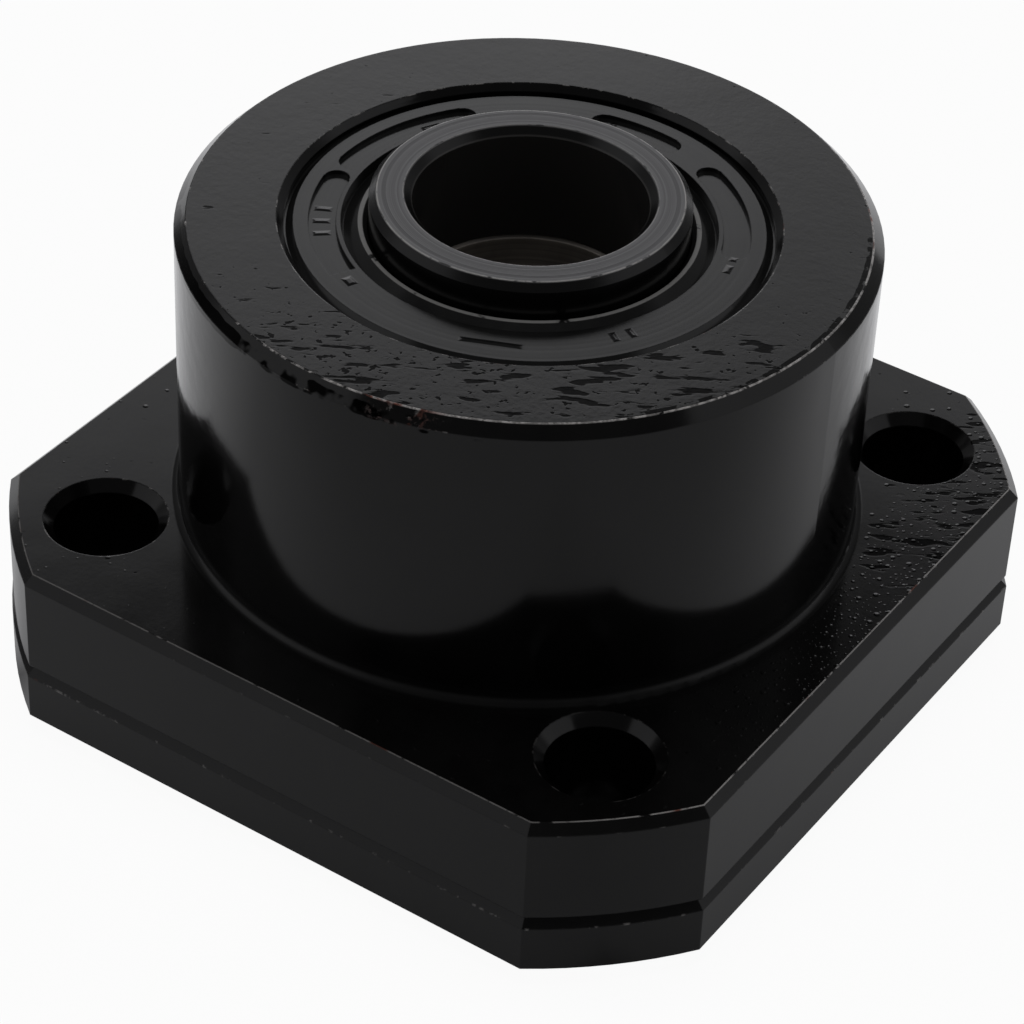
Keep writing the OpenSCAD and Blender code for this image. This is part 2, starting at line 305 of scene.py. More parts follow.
def make_hole_edge():
    """Mask round four holes on the diagonals, this far from the axis along x and y."""
    inputs = {"Point": None, "Offset": 15.556, "Hole Radius": 3.3, "Edge Height": 0.0, "Width": 0.08}
    tree, given, out = group("hole_edge", inputs, ["Mask"])
    x, y, _ = tree.xyz(tree.vector("ABSOLUTE", given["Point"]))
    from_x = tree.minus(x, given["Offset"])
    from_y = tree.minus(y, given["Offset"])
    across = tree.minus(tree.vector("LENGTH", tree.join(from_x, from_y, 0.0)), given["Hole Radius"])
    up = tree.minus(tree.xyz(given["Point"])[2], given["Edge Height"])
    tree.feed(out, "Mask", near_line(tree, across, up, given["Width"]))


def make_worn_dashes():
    """Breaks a line into worn dashes; a larger cover leaves fewer gaps."""
    inputs = {"Mask": 0.0, "Point": None, "Cover": 0.5, "Scale": 1.2}
    tree, given, out = group("worn_dashes", inputs, ["Mask"])
    patches = tree.noise(given["Point"], given["Scale"], 3.0, 0.7)
    edge = tree.minus(0.78, tree.times(given["Cover"], 0.55))
    keep = tree.ramp(patches, edge, tree.plus(edge, 0.12))
    tree.feed(out, "Mask", tree.times(given["Mask"], keep))


def make_oxide_skin():
    """Skin of black oxide: cloudy gloss, slow waves and a fine grain."""
    inputs = {"Point": None, "Gloss": 0.12, "Cloud": 0.05, "Wave": 1.0}
    tree, given, out = group("oxide_skin", inputs, ["Roughness", "Height", "Tone"])
    point = given["Point"]
    cloud = tree.minus(tree.noise(point, 0.12, 3.0, 0.6), 0.5)
    grain = tree.noise(point, 3.0, 4.0, 0.6)
    wave = tree.times(tree.noise(point, 0.22, 1.0, 0.5), given["Wave"])
    rough = tree.plus(given["Gloss"], tree.times(cloud, given["Cloud"]))
    tree.feed(out, "Roughness", tree.plus(rough, tree.times(tree.minus(grain, 0.5), 0.04)))
    tree.feed(out, "Height", tree.plus(tree.times(grain, 0.10), wave))
    tree.feed(out, "Tone", tree.ramp(tree.noise(point, 0.35, 4.0, 0.65), 0.3, 0.7, 0.75, 1.3))


def make_blisters():
    """Small round blisters on a level face, in some cells of a scatter."""
    inputs = {"Point": None, "Scale": 1.5, "Amount": 0.3}
    tree, given, out = group("blisters", inputs, ["Mask"])
    cell = tree.node("ShaderNodeTexVoronoi", voronoi_dimensions="2D")
    tree.feed(cell, "Vector", given["Point"])
    tree.feed(cell, "Scale", given["Scale"])
    chance, width, _ = tree.xyz(cell.outputs["Color"])
    picked = tree.math("LESS_THAN", chance, given["Amount"])
    radius = tree.math("MULTIPLY_ADD", width, 0.16, 0.12)
    dome = tree.ramp(tree.math("DIVIDE", cell.outputs["Distance"], radius), 0.2, 1.0, 1.0, 0.0)
    tree.feed(out, "Mask", tree.times(dome, picked))


def make_lathe_marks():
    """Concentric lathe marks on a turned face, or rings along a turned side."""
    inputs = {"Radius": 0.0, "Height": 0.0, "Pitch": 0.12}
    tree, given, out = group("lathe_marks", inputs, ["Height", "Tone"])
    turns = tree.math("DIVIDE", tree.plus(given["Radius"], given["Height"]), given["Pitch"])
    broad = tree.line_noise(turns, 0.45, 2.0, 0.6)
    ridge = tree.math("SINE", tree.times(turns, 2 * math.pi))
    tree.feed(out, "Height", tree.plus(broad, tree.times(ridge, 0.10)))
    tree.feed(out, "Tone", tree.ramp(broad, 0.3, 0.7, 0.8, 1.2))


def make_droplets():
    """Small flat droplets left by the blackening bath, drawn out sideways by the stretch."""
    inputs = {"Point": None, "Scale": 1.0, "Amount": 0.3, "Stretch": 0.29}
    tree, given, out = group("droplets", inputs, ["Mask", "Height"])
    x, y, z = tree.xyz(given["Point"])
    across = tree.times(tree.along(x, y, RIGHT), given["Stretch"])
    drawn = tree.join(across, tree.along(x, y, BACK), tree.times(z, 0.3))
    swirl = tree.node("ShaderNodeTexNoise", in_Vector=drawn, in_Scale=0.8).outputs["Color"]
    bent = tree.vector("ADD", drawn, tree.vector("SCALE", swirl, scale=0.2))
    film = tree.noise(bent, given["Scale"], 2.5, 0.45)
    edge = tree.minus(0.76, tree.times(given["Amount"], 0.25))
    tree.feed(out, "Mask", tree.ramp(film, edge, tree.plus(edge, 0.018)))
    tree.feed(out, "Height", tree.ramp(film, tree.minus(edge, 0.04), tree.plus(edge, 0.05)))


def make_moulded_bar():
    """One raised bar on a level face, tangent to a circle round the screw axis."""
    inputs = {"Point": None, "Angle": 0.0, "Ring Radius": 10.5, "Half Length": 0.5, "Half Width": 0.1}
    tree, given, out = group("moulded_bar", inputs, ["Mask"])
    x, y, _ = tree.xyz(given["Point"])
    cosine = tree.math("COSINE", given["Angle"])
    sine = tree.math("SINE", given["Angle"])
    outward = tree.plus(tree.times(x, cosine), tree.times(y, sine))
    sideways = tree.size(tree.minus(tree.times(y, cosine), tree.times(x, sine)))
    from_ring = tree.size(tree.minus(outward, given["Ring Radius"]))
    past_width = tree.minus(from_ring, given["Half Width"])
    past_end = tree.minus(sideways, given["Half Length"])
    tree.feed(out, "Mask", tree.ramp(tree.largest(past_width, past_end), -0.14, 0.10, 1.0, 0.0))


SHARED_EFFECTS = (
    make_ring_edge,
    make_plate_edge,
    make_hole_edge,
    make_worn_dashes,
    make_oxide_skin,
    make_blisters,
    make_lathe_marks,
    make_droplets,
    make_moulded_bar,
)


# ---------- finishes ----------


class Finish(Tree):
    """A new material's node tree, with its Principled shader and the place on the surface.

    The point and the values taken from it are in millimetres, in object coordinates.
    """

    def __init__(self, name, color):
        self.material = bpy.data.materials.new(name)
        self.material.use_nodes = True
        self.material.diffuse_color = (*color[:3], 1.0)
        super().__init__(self.material.node_tree)
        self.shader = next(n for n in self.tree.nodes if n.type == "BSDF_PRINCIPLED")
        place = self.node("ShaderNodeTexCoord").outputs["Object"]
        self.point = self.vector("SCALE", place, scale=MM)
        self.x, self.y, self.height = self.xyz(self.point)

    @cached_property
    def radius(self):
        """Distance from the screw axis."""
        return self.vector("LENGTH", self.join(self.x, self.y, 0.0))

    @cached_property
    def right(self):
        """Distance from the screw axis to the right."""
        return self.along(self.x, self.y, RIGHT)

    @cached_property
    def front(self):
        """Distance from the screw axis to the front."""
        return self.along(self.x, self.y, FRONT)

    def shade(self, key, value):
        """Sets or feeds an input of the shader."""
        self.feed(self.shader, key, value)

    def ring(self, radius, height, width):
        """Mask of a ring edge round the screw axis."""
        return mask(self, "ring_edge", Radius=self.radius, Height=self.height,
                    Ring_Radius=radius, Ring_Height=height, Width=width)

    def plate(self, half, corner, height, width):
        """Mask of the outline of the flange or the lid."""
        return mask(self, "plate_edge", Point=self.point, Half=half,
                    Corner_Radius=corner, Edge_Height=height, Width=width)

    def dashes(self, line, cover, scale=1.1):
        """A line broken into worn dashes."""
        return mask(self, "worn_dashes", Mask=line, Point=self.point, Cover=cover, Scale=scale)

    def emboss(self, height, depth, edge_round=None):
        """Bump from a height of 0 to 1, with depth and rounding of the edges in millimetres."""
        bump = self.node("ShaderNodeBump", in_Strength=1.0, in_Distance=depth / MM, in_Height=height)
        if edge_round is not None:
            rounded = self.node("ShaderNodeBevel", samples=4, in_Radius=edge_round / MM)
            self.feed(bump, "Normal", rounded.outputs[0])
        self.shade("Normal", bump.outputs[0])


def dress(node, finished):
    """Puts a material on every slot of a CAD node."""
    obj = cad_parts[node]
    for slot in range(len(obj.data.materials)):
        obj.data.materials[slot] = finished
    if not obj.data.materials:
        obj.data.materials.append(finished)


def lid_lines(f, p):
    """Worn lines on the lid: mask, share that is worn, and brightness."""
    inset = p.lid_chamfer * MM
    corner = p.lid_corner * MM
    return (
        (f.plate(LID_HALF, corner, SEAM_Z - inset, width=0.09), 0.42, 0.30),
        (f.plate(LID_HALF - inset, corner - inset, SEAM_Z, width=0.06), 0.25, 0.25),
        (f.plate(LID_HALF, corner, LID_Z, width=0.06), 0.35, 0.30),
    )


def housing_lines(f, p):
    """Worn lines on the housing, partly painted highlight: mask, share that is worn, and brightness."""
    top = p.flange_top * MM
    inset = p.flange_chamfer * MM
    corner = p.flange_corner * MM
    boss = p.boss_radius * MM
    cut = p.boss_chamfer * MM
    # the boss rim is worn, with a painted highlight, most towards the front and the right, and not evenly
    # bright
    highlight_side = f.math("MULTIPLY_ADD", f.right, 0.6, f.times(f.front, 0.8))
    rim_cover_and_highlight = f.ramp(highlight_side, -4.0, 14.0, 0.42, 0.80)
    rim_light = f.ramp(f.noise(f.point, 3.5, 2.0), 0.36, 0.62, 0.35, 1.0)
    # wear and painted highlight: the flange edge is brightest at +X, the hole mouths at the left
    flange_wear_and_highlight = f.ramp(f.x, 15.0, 21.0, 0.24, 0.65)
    mouth_wear_and_highlight = f.ramp(f.right, -16.0, 0.0, 0.22, 0.05)
    mouths = mask(f, "hole_edge", Point=f.point, Hole_Radius=p.hole_mouth * MM, Edge_Height=top, Width=0.07)
    return (
        (f.ring(boss - cut, NOSE_Z, width=0.08), rim_cover_and_highlight, rim_light),
        (f.ring(boss, NOSE_Z - cut, width=0.06), 0.35, 0.20),
        (f.ring(SEAL_R + p.seal_mouth * MM, NOSE_Z, width=0.06), 0.50, 0.30),
        (f.plate(FLANGE_HALF - inset, corner - inset, top, width=0.055), 0.80, flange_wear_and_highlight),
        (f.plate(FLANGE_HALF, corner, top - inset, width=0.05), 0.35, 0.15),
        (mouths, 0.50, mouth_wear_and_highlight),
    )


def chipped_stretch(f, p):
    """Chips in a short stretch of the boss edge, and the rust round them."""
    cut = p.boss_chamfer * MM
    spot = f.ramp(f.vector("DISTANCE", f.point, CHIPPED_SPOT), 0.8, 2.6, 1.0, 0.0)
    edge = f.ring(p.boss_radius * MM - cut / 2, NOSE_Z - cut / 2, width=0.75)
    flakes = f.ramp(f.noise(f.point, 1.5, 4.0, 0.7), 0.54, 0.66, 0.0, 0.22)
    rusty = f.ramp(f.noise(f.point, 0.9, 2.0), 0.42, 0.52)
    return f.times(f.times(edge, spot), flakes), f.times(spot, rusty)


def boss_soot(f, p):
    """Soot that ran down from the boss chamfer at the left, and a broken line inside its rim."""
    boss = p.boss_radius * MM
    cut = p.boss_chamfer * MM
    drips = f.ring(boss - 0.1, NOSE_Z - cut + 0.1, width=0.6)
    narrower = f.ramp(f.right, -15.5, -11.5, 1.0, 0.60)
    drips = f.times(drips, f.times(narrower, f.ramp(f.right, -4.0, 1.0, 1.0, 0.0)))
    drips = f.ramp(f.math("MULTIPLY_ADD", f.noise(f.point, 0.8, 2.0), 1.6, drips), 1.36, 1.52)
    line = f.ring(boss - cut - 0.2, NOSE_Z, width=0.26)
    line = f.times(line, f.times(f.ramp(f.right, 1.0, 6.0), f.ramp(f.front, -4.0, 2.0)))
    blots = f.times(f.noise(f.point, 1.3, 3.0, 0.6), 1.6)
    return drips, f.ramp(f.plus(blots, line), 1.68, 1.76)


def bath_marks(f, p, worn):
    """Marks of the blackening bath on the housing: where soot lies, and the heights to add."""
    top = p.flange_top * MM
    boss = p.boss_radius * MM
    rim = boss - p.boss_chamfer * MM
    on_face = f.times(f.ramp(f.height, NOSE_Z - 0.2, NOSE_Z - 0.02), f.ramp(f.radius, rim, rim - 0.1))
    from_top = f.size(f.minus(f.height, top))
    on_flange = f.times(f.ramp(from_top, 0.03, 0.08, 1.0, 0.0), f.ramp(f.radius, boss + 0.6, boss + 1.0))
    level = f.largest(on_face, on_flange)
    # droplets lie towards the front of the face, and on the flange beside its +X edge
    beside = f.times(f.ramp(f.x, 14.0, 19.0), f.ramp(f.y, 0.0, 8.0))
    share = f.times(f.ramp(f.front, 4.0, 14.0, 0.05, 0.68), on_face)
    share = f.plus(share, f.times(f.times(beside, on_flange), 0.80))
    drops = use(f, "droplets", Point=f.point, Scale=1.85, Amount=share)
    few = f.times(f.ramp(f.front, 3.0, 13.0), f.ramp(f.right, -6.0, 4.0, 0.50, 0.34))
    specks = use(f, "droplets", Point=f.point, Scale=2.7, Stretch=0.95, Amount=f.times(few, on_face))
    soot = f.times(f.largest(drops["Mask"], specks["Mask"]), level)
    film = f.times(f.times(f.largest(drops["Height"], specks["Height"]), level), -0.35)
    # bare steel shows through the soot
    soot = f.times(f.largest(soot, *boss_soot(f, p)), f.ramp(worn, 0.02, 0.15, 1.0, 0.0))
    return soot, (film, blisters(f, on_flange), orange_peel(f, on_face), rough_sides(f, top))


def blisters(f, on_flange):
    """Large and tiny blisters on the flange, most of them beside its +X edge."""
    beside = f.times(f.ramp(f.x, 16.0, 19.0), f.ramp(f.y, -14.0, -7.0))
    many = f.math("MULTIPLY_ADD", beside, 0.62, 0.05)
    some = f.math("MULTIPLY_ADD", beside, 0.45, 0.03)
    large = mask(f, "blisters", Point=f.point, Scale=1.5, Amount=many)
    tiny = mask(f, "blisters", Point=f.point, Scale=3.1, Amount=some)
    return f.times(f.times(f.plus(large, f.times(tiny, 0.5)), on_flange), 2.3)


def orange_peel(f, on_face):
    """Orange peel on the boss face."""
    return f.times(f.times(f.noise(f.point, 2.0, 2.5, 0.6), on_face), 0.50)


def rough_sides(f, top):
    """A rougher skin on both sides of the boss, between the flange and the chamfer."""
    sides = f.times(f.ramp(f.size(f.right), 13.5, 17.0), f.ramp(f.height, top + 1.0, top + 3.0))
    sides = f.times(sides, f.ramp(f.height, NOSE_Z - 1.0, NOSE_Z - 0.6, 1.0, 0.0))
    return f.times(f.times(f.noise(f.point, 0.9, 3.0, 0.5), sides), 1.6)


def oxide_material(name, p, lid=False):
    """Black oxide over steel with worn edges, on the housing partly painted highlight; the housing has
    chips and bath marks too.
    """
    f = Finish(name, p.oxide_color)
    skin = use(f, "oxide_skin", Point=f.point, Gloss=p.oxide_roughness, Cloud=0.06, Wave=1.0)
    lines = lid_lines(f, p) if lid else housing_lines(f, p)
    # worn edges; on the housing these are partly painted highlight on the sides that face the light
    worn = f.largest(*[f.times(f.dashes(line, cover), light) for line, cover, light in lines])
    rust = f.ramp(f.noise(f.point, 0.5, 2.0), 0.62, 0.70)
    relief = skin["Height"]
    if not lid:
        chips, rusty = chipped_stretch(f, p)
        worn = f.largest(worn, chips)
        rust = f.largest(rust, rusty)
        soot, heights = bath_marks(f, p, worn)
        relief = f.plus(relief, *heights)
    bare = f.times(worn, 0.35)
    rough = f.plus(skin["Roughness"], f.times(worn, 0.25))
    if not lid:
        # soot takes the gloss: black, and hardly a mirror
        bare = f.largest(bare, f.times(soot, 0.98))
        rough = f.plus(rough, f.times(soot, 0.04))
        # a duller skin in the corner at the foot of the boss
        foot = f.ring(p.boss_radius * MM + 0.2, p.flange_top * MM + 0.2, width=1.0)
        rough = f.plus(rough, f.times(f.times(foot, f.ramp(f.front, 4.0, 15.0)), 0.22))
    metal = f.mix(rust, (*p.worn_color[:3], 1.0), RUST)
    f.shade("Base Color", f.mix(worn, f.toned(p.oxide_color, skin["Tone"]), metal))
    f.shade("Metallic", bare)
    f.shade("Roughness", rough)
    f.shade("IOR", 1.5)
    f.emboss(relief, depth=0.012, edge_round=p.edge_round * MM)
    return f.material


def collar_material(p):
    """Blackened collar whose free face was turned again after blackening."""
    f = Finish("turned_collar", p.collar_color)
    front_face = f.ramp(f.height, TIP_Z - 0.07, TIP_Z - 0.02)
    faced = f.largest(front_face, f.ramp(f.height, 0.02, 0.07, 1.0, 0.0))
    marks = use(f, "lathe_marks", Radius=f.radius, Height=0.0, Pitch=0.10)
    around = use(f, "lathe_marks", Radius=0.0, Height=f.height, Pitch=0.16)
    skin = use(f, "oxide_skin", Point=f.point, Gloss=0.22, Cloud=0.05, Wave=0.5)
    rim = f.ring(COLLAR_R - COLLAR_CHAMFER, TIP_Z, width=0.06)
    mouth = f.ring(BORE_R + BORE_CHAMFER, TIP_Z, width=0.06)
    worn = f.dashes(f.largest(rim, f.times(mouth, 0.5)), cover=0.80)
    # the bore is reamed and a little paler than the blackened outside
    in_bore = f.ramp(f.radius, BORE_R + 0.03, BORE_R + 0.10, 1.0, 0.0)
    face = f.mix(faced, f.mix(in_bore, COLLAR_SKIN, COLLAR_BORE), f.toned(p.collar_color, marks["Tone"]))
    f.shade("Base Color", f.mix(worn, face, COLLAR_WORN))
    worn_gloss = f.ramp(worn, 0.0, 1.0, 1.0, 0.45, smooth=False)
    f.shade("Metallic", f.times(f.largest(faced, worn), worn_gloss))
    f.shade("Roughness", f.plus(f.times(faced, 0.20), skin["Roughness"]))
    grooves = f.times(f.times(marks["Height"], faced), 1.6)
    f.emboss(f.plus(grooves, f.times(around["Height"], 0.15)), depth=0.006, edge_round=0.06)
    return f.material


def rubber_material(p):
    """Moulded nitrile rubber: dark, slightly cloudy, with a fine moulded skin."""
    f = Finish("moulded_rubber", p.rubber_color)
    skin = use(f, "oxide_skin", Point=f.point, Gloss=p.rubber_roughness, Cloud=0.08, Wave=0.5)
    flow = use(f, "lathe_marks", Radius=f.radius, Height=f.height, Pitch=0.35)
    # the dust lip carries a paler worn line
    from_lip = f.size(f.minus(f.radius, p.lip_radius * MM))
    lip = f.times(f.ramp(from_lip, 0.08, 0.15, 1.0, 0.0), f.ramp(f.height, SEAL_TOP - 0.8, SEAL_TOP - 0.5))
    pale = f.dashes(lip, cover=0.85, scale=0.9)
    black = f.toned(p.rubber_color, f.times(skin["Tone"], flow["Tone"]))
    f.shade("Base Color", f.mix(pale, black, RUBBER_WORN))
    f.shade("Roughness", f.plus(skin["Roughness"], f.times(pale, 0.35)))
    f.shade("IOR", 1.55)
    bars = [mask(f, "moulded_bar", Point=f.point, Angle=math.radians(angle), Ring_Radius=radius,
                 Half_Length=half_length, Half_Width=half_width)
            for angle, radius, half_length, half_width in SEAL_MARKS]
    relief = f.plus(f.times(skin["Height"], 0.4), f.times(flow["Height"], 0.3))
    f.emboss(f.plus(relief, f.times(f.largest(*bars), 4.0)), depth=0.010, edge_round=0.06)
    return f.material


def steel_material(name, color, roughness, pitch, metallic=1.0):
    """Ground or pressed steel with fine marks round the screw axis."""
    f = Finish(name, color)
    marks = use(f, "lathe_marks", Radius=f.radius, Height=f.height, Pitch=pitch)
    haze = f.noise(f.point, 0.4, 4.0, 0.6)
    tone = f.times(marks["Tone"], f.ramp(haze, 0.3, 0.7, 0.85, 1.15))
    dull = f.plus(f.times(haze, 0.5), f.times(marks["Height"], 0.5))
    f.shade("Base Color", f.toned(color, tone))
    f.shade("Metallic", metallic)
    f.shade("Roughness", f.ramp(dull, 0.2, 0.8, roughness * 0.75, roughness * 1.3))
    f.emboss(marks["Height"], depth=0.004, edge_round=0.08)
    return f.material


def resin_material(p):
    """Moulded cage resin with glass fibre specks."""
    f = Finish("cage_resin", p.resin_color)
    fibre = f.noise(f.vector("MULTIPLY", f.point, (1.0, 1.0, 5.0)), 2.2, 4.0, 0.7)
    blotch = f.plus(f.times(fibre, 0.6), f.times(f.noise(f.point, 0.3, 3.0), 0.4))
    f.shade("Base Color", f.toned(p.resin_color, f.ramp(blotch, 0.3, 0.7, 0.8, 1.15)))
    f.shade("Roughness", f.ramp(fibre, 0.3, 0.7, 0.35, 0.55))
    f.emboss(fibre, depth=0.008)
    return f.material


# ---------- stage ----------


def grid_mesh(name, points, faces):
    """A mesh object from an array of points and an array of quads."""
    mesh = bpy.data.meshes.new(name)
    corners = [tuple(point) for point in points.tolist()]
    quads = [tuple(face) for face in faces.tolist()]
    mesh.from_pydata(corners, [], quads)
    obj = bpy.data.objects.new(name, mesh)
    bpy.context.scene.collection.objects.link(obj)
    return obj


def floor_surface(half, drop, count):
    """Points and quads of a flat square grid under the object.

    X and y run evenly from -half to half over count points, and z is -drop everywhere.
    """
    line = np.linspace(-half, half, count)
    x, y = np.meshgrid(line, line)
    points = np.stack([x.ravel(), y.ravel(), np.full(count * count, -drop)], axis=1)
    first = (np.arange(count - 1)[:, None] * count + np.arange(count - 1)).ravel()
    return points, np.stack([first, first + 1, first + count + 1, first + count], axis=1)


def floor_material(p):
    """Pale matt floor. The camera sees it near white; gloss sees a painted glow of light and shadow."""
    made = bpy.data.materials.new("studio_floor")
    made.use_nodes = True
    t = Tree(made.node_tree)
    t.tree.nodes.clear()
    ray = t.node("ShaderNodeLightPath").outputs
    x, y, _ = t.xyz(t.node("ShaderNodeTexCoord").outputs["Object"])
    # painted light that gloss sees, in metres from the object: brighter towards the backdrop and to both
    # sides
    deep = t.ramp(t.along(x, y, BACK), -0.035, 0.048, p.floor_front, p.floor_back)
    wide = t.ramp(t.size(t.along(x, y, RIGHT)), 0.03, 0.08, 0.0, p.floor_side)
    # and painted shadow: dimmer close to the lid, and dark under it
    past_lid = t.minus(t.largest(t.size(x), t.size(y)), LID_HALF / MM)
    painted_shadow_beside_lid = t.ramp(past_lid, 0.0, 0.016, 0.66, 1.0, smooth=False)
    under = t.ramp(past_lid, -0.004, 0.0, 0.03, 1.0)
    painted_floor_light = t.times(t.plus(deep, wide), t.times(painted_shadow_beside_lid, under))
    matt = t.node("ShaderNodeBsdfDiffuse", in_Color=FLOOR_MATT).outputs[0]
    white = t.node("ShaderNodeEmission", in_Color=PURE_WHITE, in_Strength=1.0).outputs[0]
    # the painted glow: the floor as gloss sees it glows with painted light and painted shadow
    painted_floor_glow = t.node("ShaderNodeEmission", in_Color=COOL_WHITE, in_Strength=painted_floor_light).outputs[0]
    for_camera = t.blend_shaders(p.floor_whiteness, matt, white)
    for_gloss = t.blend_shaders(PAINTED_GLOW_SHARE, matt, painted_floor_glow)
    not_camera = t.blend_shaders(ray["Is Glossy Ray"], matt, for_gloss)
    surface = t.blend_shaders(ray["Is Camera Ray"], not_camera, for_camera)
    t.node("ShaderNodeOutputMaterial", in_0=surface)
    return made


def studio_world(p):
    """Soft surroundings, white to the camera.

    A bright backdrop reaches up to backdrop_top, with dim gaps beside it, paler walls
    and a dark ceiling with a soft glow overhead.
    """
    world = bpy.data.worlds.new("studio")
    bpy.context.scene.world = world
    world.use_nodes = True
    t = Tree(world.node_tree)
    t.tree.nodes.clear()
    ray = t.node("ShaderNodeLightPath").outputs
    x, y, z = t.xyz(t.node("ShaderNodeTexCoord").outputs["Generated"])
    level = t.vector("NORMALIZE", t.join(x, y, 0.0))
    back = t.vector("DOT_PRODUCT", level, (*BACK, 0.0))
    right = t.vector("DOT_PRODUCT", level, (*RIGHT, 0.0))
    height = t.math("ARCSINE", z)
    # the backdrop is dimmer near its top, and in a strip a little to the right
    backdrop = t.ramp(height, math.radians(29), math.radians(36), p.backdrop, p.backdrop * 0.70)
    strip_left = t.ramp(right, 0.03, 0.09, 1.0, 0.77)
    strip_right = t.ramp(right, 0.11, 0.15, 1.0, 1.30)
    backdrop = t.times(backdrop, strip_left, strip_right)
    beside = t.ramp(back, 0.25, 0.45, p.walls, p.gaps)
    behind = t.ramp(back, -0.85, -0.45, p.behind, p.walls)
    below = t.blend(t.ramp(back, 0.93, 0.98), t.math("MINIMUM", beside, behind), backdrop)
    # its blurred upper edge slants down to the right, and the walls reach higher at both sides
    slant = math.radians(0.75)
    blur = math.radians(1.3)
    edge = t.ramp(right, -0.2, 0.2, p.backdrop_top + slant, p.backdrop_top - slant, smooth=False)
    edge = t.plus(edge, t.ramp(t.size(right), 0.75, 0.95, 0.0, math.radians(10)))
    lift = t.ramp(height, t.minus(edge, blur), t.plus(edge, blur))
    above = t.ramp(height, math.radians(60), math.radians(80), p.ceiling, p.zenith)
    glow = t.blend(lift, below, above)
    room = t.node("ShaderNodeBackground", in_Color=COOL_WHITE, in_Strength=glow).outputs[0]
    white = t.node("ShaderNodeBackground", in_Color=PURE_WHITE, in_Strength=1.0).outputs[0]
    t.node("ShaderNodeOutputWorld", in_0=t.blend_shaders(ray["Is Camera Ray"], room, white))


def studio_lamp(p):
    """Soft square lamp overhead, aimed at the object's origin, that gloss doesn't see."""
    light = bpy.data.lights.new("top_light", "AREA")
    light.shape = "RECTANGLE"
    light.size = LAMP_SIZE
    light.size_y = LAMP_SIZE
    light.energy = p.top_light
    lamp = bpy.data.objects.new("top_light", light)
    lamp.location = LAMP_PLACE
    lamp.rotation_euler = (Vector((0, 0, 0)) - lamp.location).to_track_quat("-Z", "Y").to_euler()
    lamp.visible_glossy = False
    bpy.context.scene.collection.objects.link(lamp)


def look_from(p):
    """Rotation and place of the camera from its azimuth, elevation, roll, distance and aim point."""
    level = math.cos(p.elevation)
    back = Vector((math.sin(p.azimuth) * level, -math.cos(p.azimuth) * level, math.sin(p.elevation)))
    side = Vector((math.cos(p.azimuth), math.sin(p.azimuth), 0.0))
    over = back.cross(side)
    right = side * math.cos(p.roll) + over * math.sin(p.roll)
    up = over * math.cos(p.roll) - side * math.sin(p.roll)
    turn = Matrix((right, up, back)).transposed().to_4x4()
    return Matrix.Translation(Vector(p.aim) + back * p.distance) @ turn


def studio_camera(p):
    """The camera, made the scene's own."""
    data = bpy.data.cameras.new("camera")
    data.sensor_width = SENSOR_WIDTH
    data.lens = p.lens
    data.clip_start = 0.01
    camera = bpy.data.objects.new("camera", data)
    camera.matrix_world = look_from(p)
    bpy.context.scene.collection.objects.link(camera)
    bpy.context.scene.camera = camera


# ---------- settings ----------

LENGTH = dict(subtype="DISTANCE", unit="LENGTH")
ANGLE = dict(subtype="ANGLE", unit="ROTATION")
COLOR = dict(subtype="COLOR", min=0, max=1)
BRIGHTNESS = dict(min=0, max=2)


